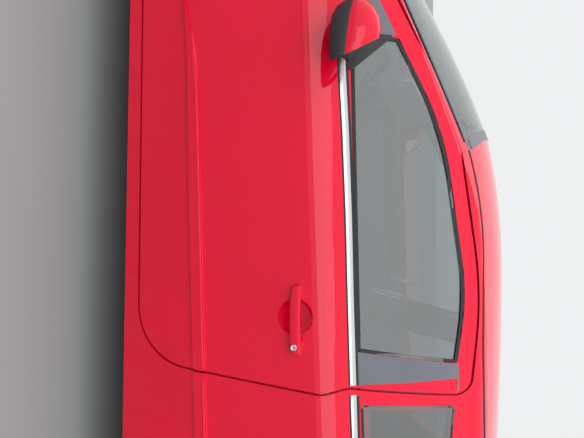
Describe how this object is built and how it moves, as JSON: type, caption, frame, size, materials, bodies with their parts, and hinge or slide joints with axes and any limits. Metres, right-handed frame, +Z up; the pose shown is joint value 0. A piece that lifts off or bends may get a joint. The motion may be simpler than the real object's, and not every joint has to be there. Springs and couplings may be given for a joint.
{
  "type": "three-door hatchback car",
  "caption": "Compact family hatchback: steel body with long side doors, a sloping tail lid over the luggage space, alloy wheels and cloth seats.",
  "frame": {"origin": "on the ground under the middle of the car's length and width", "axes": "+X towards the tail, +Y towards the car's right, +Z up"},
  "size_m": [4.2899, 2.0254, 1.4348],
  "materials": {
    "body_paint": "gloss red paint under clear lacquer",
    "window_glass": "clear, faintly green safety glass",
    "lamp_lens": "clear polycarbonate lens",
    "tail_lens": "moulded red and clear lens",
    "black_plastic": "grained black moulding",
    "mirror_shell": "painted shell with a black base",
    "underbody": "dark stone guard",
    "dark_steel": "black coated steel",
    "cast_metal": "rough casting",
    "exhaust_steel": "dull steel",
    "tank_plastic": "blow-moulded plastic",
    "dash_plastic": "soft grained skin",
    "wheel_leather": "black leather",
    "seat_cloth": "dark woven cloth",
    "shelf_cloth": "needle felt",
    "alloy": "silver lacquered alloy",
    "tyre_rubber": "black rubber"
  },
  "bodies": {
    "shell": {"roof_panel": "body_paint", "front_bumper": "body_paint", "rear_bumper": "body_paint", "front_wings": "body_paint", "body_side_left": "body_paint", "body_side_right": "body_paint", "windscreen": "window_glass", "quarter_glass": "window_glass", "headlamps": "lamp_lens", "tail_lamps": "tail_lens", "grille": "black_plastic", "scuttle": "black_plastic", "floor_pan": "underbody", "front_structure": "underbody", "engine_block": "cast_metal", "front_subframe": "dark_steel", "rear_axle": "dark_steel", "exhaust": "exhaust_steel", "fuel_tank": "tank_plastic", "dashboard": "dash_plastic", "steering_wheel": "wheel_leather", "front_seats": "seat_cloth", "rear_seat": "seat_cloth", "parcel_shelf": "shelf_cloth"},
    "left_door": {"door_left": "body_paint", "door_glass_left": "window_glass", "mirror_left": "mirror_shell", "door_handle_left": "body_paint"},
    "right_door": {"door_right": "body_paint", "door_glass_right": "window_glass", "mirror_right": "mirror_shell", "door_handle_right": "body_paint"},
    "bonnet_lid": {"bonnet": "body_paint"},
    "tailgate_lid": {"tailgate": "body_paint", "tailgate_glass": "window_glass"},
    "left_knuckle": {"knuckle_left": "cast_metal"},
    "right_knuckle": {"knuckle_right": "cast_metal"},
    "front_left_wheel": {"rim_front_left": "alloy", "tyre_front_left": "tyre_rubber"},
    "front_right_wheel": {"rim_front_right": "alloy", "tyre_front_right": "tyre_rubber"},
    "rear_left_wheel": {"rim_rear_left": "alloy", "tyre_rear_left": "tyre_rubber"},
    "rear_right_wheel": {"rim_rear_right": "alloy", "tyre_rear_right": "tyre_rubber"}
  },
  "joints": [
    {"name": "steer_left", "type": "hinge", "parent": "shell", "child": "left_knuckle", "pos_m": [-1.25, -0.69, 0.205], "axis": [0.0375, 0.1723, 0.9843], "range_deg": [-35, 35]},
    {"name": "steer_right", "type": "hinge", "parent": "shell", "child": "right_knuckle", "pos_m": [-1.25, 0.69, 0.205], "axis": [0.0375, -0.1723, 0.9843], "range_deg": [-35, 35]},
    {"name": "door_left_hinge", "type": "hinge", "parent": "shell", "child": "left_door", "pos_m": [-0.665, -0.858, 0.63], "axis": [0, 0, -1], "range_deg": [0, 65]},
    {"name": "door_right_hinge", "type": "hinge", "parent": "shell", "child": "right_door", "pos_m": [-0.665, 0.858, 0.63], "axis": [0, 0, 1], "range_deg": [0, 65]},
    {"name": "bonnet_hinge", "type": "hinge", "parent": "shell", "child": "bonnet_lid", "pos_m": [-0.954, 0, 0.974], "axis": [0, 1, 0], "range_deg": [0, 55]},
    {"name": "tailgate_hinge", "type": "hinge", "parent": "shell", "child": "tailgate_lid", "pos_m": [1.608, 0, 1.334], "axis": [0, -1, 0], "range_deg": [0, 75]},
    {"name": "wheel_front_left_spin", "type": "hinge", "parent": "left_knuckle", "child": "front_left_wheel", "pos_m": [-1.245, -0.744, 0.317], "axis": [0, 1, 0], "continuous": true},
    {"name": "wheel_front_right_spin", "type": "hinge", "parent": "right_knuckle", "child": "front_right_wheel", "pos_m": [-1.245, 0.744, 0.317], "axis": [0, 1, 0], "continuous": true},
    {"name": "wheel_rear_left_spin", "type": "hinge", "parent": "shell", "child": "rear_left_wheel", "pos_m": [1.369, -0.744, 0.317], "axis": [0, 1, 0], "continuous": true},
    {"name": "wheel_rear_right_spin", "type": "hinge", "parent": "shell", "child": "rear_right_wheel", "pos_m": [1.369, 0.744, 0.317], "axis": [0, 1, 0], "continuous": true}
  ],
  "couplings": [
    {"joint": "steer_right", "follows": "steer_left", "ratio": 1}
  ]
}
